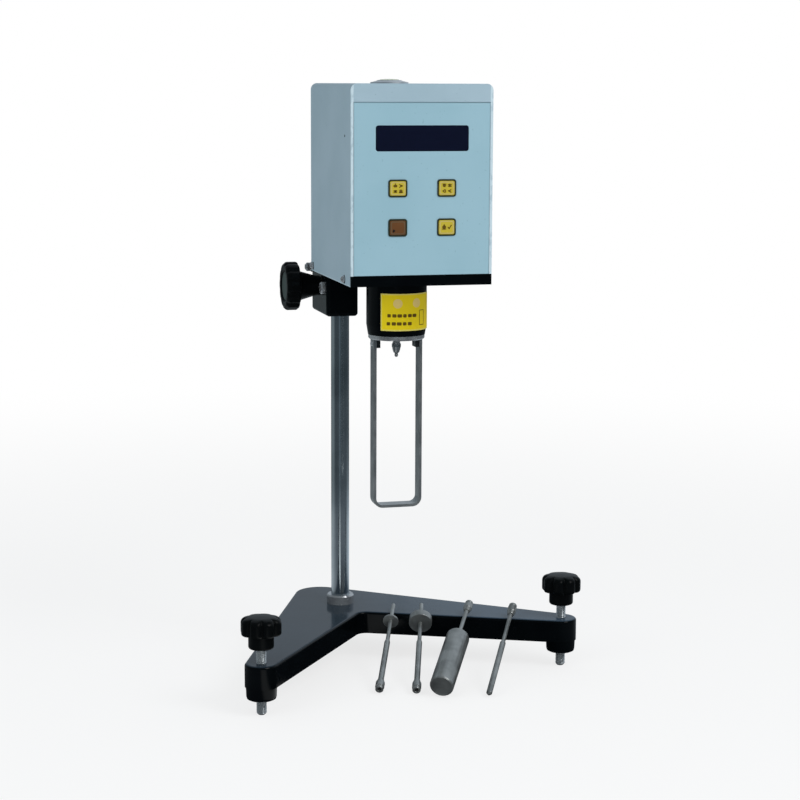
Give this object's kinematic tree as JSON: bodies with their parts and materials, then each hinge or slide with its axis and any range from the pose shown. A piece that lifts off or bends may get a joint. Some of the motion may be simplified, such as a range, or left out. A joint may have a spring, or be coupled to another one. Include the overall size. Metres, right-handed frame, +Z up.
{
  "type": "rotational viscometer",
  "caption": "Bench rotational viscometer: a digital measuring head that a rack and pinion lifts on a round column, a V-shaped base on levelling screws, and loose disc and cylinder spindles.",
  "frame": {"origin": "on the bench, under the middle of the whole instrument's footprint box", "axes": "+Z up along the column; -Y towards the operator, out of the head's front panel; +X to the operator's right"},
  "size_m": [0.2927, 0.2328, 0.4735],
  "materials": {
    "black_enamel": "glossy black baked enamel",
    "column_steel": "ground and polished bright steel",
    "bright_steel": "bright nickel plate",
    "screw_steel": "turned steel",
    "black_plastic": "moulded black, slightly glossy",
    "rubber_foot": "black rubber",
    "brass": "turned brass",
    "cover_paint": "pale blue-grey enamel",
    "panel_paint": "pale blue-grey enamel",
    "guard_steel": "dark satin steel",
    "shaft_steel": "ground stainless steel",
    "spring_steel": "blued spring steel",
    "plain_aluminium": "machined aluminium",
    "motor_can": "plain steel can",
    "circuit_board": "green board",
    "dark_plastic": "matt black",
    "display_glass": "dark tinted window",
    "display_module": "dark display module",
    "key_frame": "dark olive",
    "key_yellow": "moulded yellow",
    "key_brown": "moulded red-brown",
    "level_metal": "bright turned aluminium",
    "level_glass": "clear over a pale green liquid",
    "spindle_steel": "satin stainless steel"
  },
  "bodies": {
    "stand": {"base_casting": "black_enamel", "column": "column_steel", "rack": "screw_steel", "column_collar": "bright_steel", "column_bolt": "screw_steel", "column_cap": "column_steel", "rear_foot": "rubber_foot"},
    "left_foot": {"levelling_stud_left": "screw_steel"},
    "left_foot_knob": {"levelling_knob_left": "black_plastic"},
    "right_foot": {"levelling_stud_right": "screw_steel"},
    "right_foot_knob": {"levelling_knob_right": "black_plastic"},
    "head": {"carriage_block": "black_enamel", "pinion_bushes": "brass", "brake_pad": "dark_plastic", "carriage_screws": "screw_steel", "base_plate": "black_enamel", "housing_shell": "cover_paint", "housing_screws": "screw_steel", "rear_bracket": "screw_steel", "neck_collar": "black_enamel", "guard_ring": "bright_steel", "guard_frame": "guard_steel", "guard_screws": "screw_steel", "lower_bearing": "brass", "drive_motor": "motor_can", "mechanism_plate": "plain_aluminium", "plate_posts": "screw_steel", "disc_sensors": "dark_plastic", "front_panel": "panel_paint", "display_window": "display_glass", "display_module": "display_module", "main_board": "circuit_board", "key_frames": "key_frame", "key_switches": "dark_plastic", "power_module": "circuit_board", "power_inlet": "dark_plastic", "switch_frame": "dark_plastic", "level_ring": "level_metal", "level_vial": "level_glass"},
    "lift_wheel": {"lift_pinion": "screw_steel", "lift_knob": "black_plastic", "lift_knob_cap": "black_plastic"},
    "tension_screw": {"tension_screw": "bright_steel"},
    "lock_screw": {"lock_screw": "bright_steel"},
    "drive": {"drive_hub": "plain_aluminium", "drive_gear": "brass", "hairspring": "spring_steel"},
    "motor_rotor": {"motor_pinion": "brass"},
    "measuring_shaft": {"spindle_shaft": "shaft_steel", "spindle_coupling": "shaft_steel", "output_disc": "plain_aluminium"},
    "power_rocker": {"power_rocker": "dark_plastic"},
    "spindle_1": {"spindle_1": "spindle_steel"},
    "spindle_2": {"spindle_2": "spindle_steel"},
    "spindle_3": {"spindle_3": "spindle_steel"},
    "spindle_4": {"spindle_4": "spindle_steel"},
    "key_upper_left": {"key_upper_left": "key_yellow"},
    "key_upper_right": {"key_upper_right": "key_yellow"},
    "key_lower_left": {"key_lower_left": "key_brown"},
    "key_lower_right": {"key_lower_right": "key_yellow"}
  },
  "joints": [
    {"name": "head_lift", "type": "slide", "parent": "stand", "child": "head", "axis": [0, 0, 1], "range_m": [-0.08, 0.06]},
    {"name": "lift_knob_turn", "type": "hinge", "parent": "head", "child": "lift_wheel", "pos_m": [-0.0342, 0.07355, 0.3056], "axis": [1, 0, 0], "range_deg": [-580, 440]},
    {"name": "left_foot_travel", "type": "slide", "parent": "stand", "child": "left_foot", "axis": [0, 0, 1], "range_m": [-0.00625, 0.00625]},
    {"name": "left_foot_turn", "type": "hinge", "parent": "left_foot", "child": "left_foot_knob", "pos_m": [-0.13051, -0.10059, 0.065], "axis": [0, 0, 1], "range_deg": [-1810, 1810]},
    {"name": "right_foot_travel", "type": "slide", "parent": "stand", "child": "right_foot", "axis": [0, 0, 1], "range_m": [-0.00625, 0.00625]},
    {"name": "right_foot_turn", "type": "hinge", "parent": "right_foot", "child": "right_foot_knob", "pos_m": [0.1306, -0.02867, 0.065], "axis": [0, 0, 1], "range_deg": [-1810, 1810]},
    {"name": "tension_screw_turn", "type": "hinge", "parent": "head", "child": "tension_screw", "pos_m": [-0.0472, 0.0597, 0.3047], "axis": [1, 0, 0], "range_deg": [-180, 180]},
    {"name": "lock_screw_turn", "type": "hinge", "parent": "head", "child": "lock_screw", "pos_m": [-0.0472, 0.1007, 0.3185], "axis": [1, 0, 0], "range_deg": [-180, 180]},
    {"name": "drive_spin", "type": "hinge", "parent": "head", "child": "drive", "pos_m": [-0.0068, -0.021, 0.378], "axis": [0, 0, 1], "continuous": true},
    {"name": "motor_spin", "type": "hinge", "parent": "head", "child": "motor_rotor", "pos_m": [0.01405, -0.021, 0.378], "axis": [0, 0, 1], "continuous": true},
    {"name": "torque_twist", "type": "hinge", "parent": "drive", "child": "measuring_shaft", "pos_m": [-0.0068, -0.021, 0.3], "axis": [0, 0, 1], "range_deg": [-5, 90], "stiffness_Nm_per_rad": 0.000045, "deforming": ["hairspring"]},
    {"name": "key_upper_left_press", "type": "slide", "parent": "head", "child": "key_upper_left", "axis": [0, 1, 0], "range_m": [0, 0.0008], "stiffness_N_per_m": 300, "springref_m": -0.0005},
    {"name": "key_upper_right_press", "type": "slide", "parent": "head", "child": "key_upper_right", "axis": [0, 1, 0], "range_m": [0, 0.0008], "stiffness_N_per_m": 300, "springref_m": -0.0005},
    {"name": "key_lower_left_press", "type": "slide", "parent": "head", "child": "key_lower_left", "axis": [0, 1, 0], "range_m": [0, 0.0008], "stiffness_N_per_m": 300, "springref_m": -0.0005},
    {"name": "key_lower_right_press", "type": "slide", "parent": "head", "child": "key_lower_right", "axis": [0, 1, 0], "range_m": [0, 0.0008], "stiffness_N_per_m": 300, "springref_m": -0.0005},
    {"name": "power_rock", "type": "hinge", "parent": "head", "child": "power_rocker", "pos_m": [0.0013, 0.0432, 0.41], "axis": [0, 0, 1], "range_deg": [0, 12]},
    {"name": "spindle_1_lift_off", "type": "slide", "parent": "stand", "child": "spindle_1", "axis": [0, 0, 1], "range_m": [0, 0.02]},
    {"name": "spindle_2_lift_off", "type": "slide", "parent": "stand", "child": "spindle_2", "axis": [0, 0, 1], "range_m": [0, 0.02]},
    {"name": "spindle_3_lift_off", "type": "slide", "parent": "stand", "child": "spindle_3", "axis": [0, 0, 1], "range_m": [0, 0.02]},
    {"name": "spindle_4_lift_off", "type": "slide", "parent": "stand", "child": "spindle_4", "axis": [0, 0, 1], "range_m": [0, 0.02]}
  ],
  "couplings": [
    {"joint": "lift_knob_turn", "follows": "head_lift", "rad_per_m": 125},
    {"joint": "left_foot_turn", "follows": "left_foot_travel", "rad_per_m": 5026.5},
    {"joint": "right_foot_turn", "follows": "right_foot_travel", "rad_per_m": 5026.5},
    {"joint": "motor_spin", "follows": "drive_spin", "ratio": -3.3333}
  ]
}
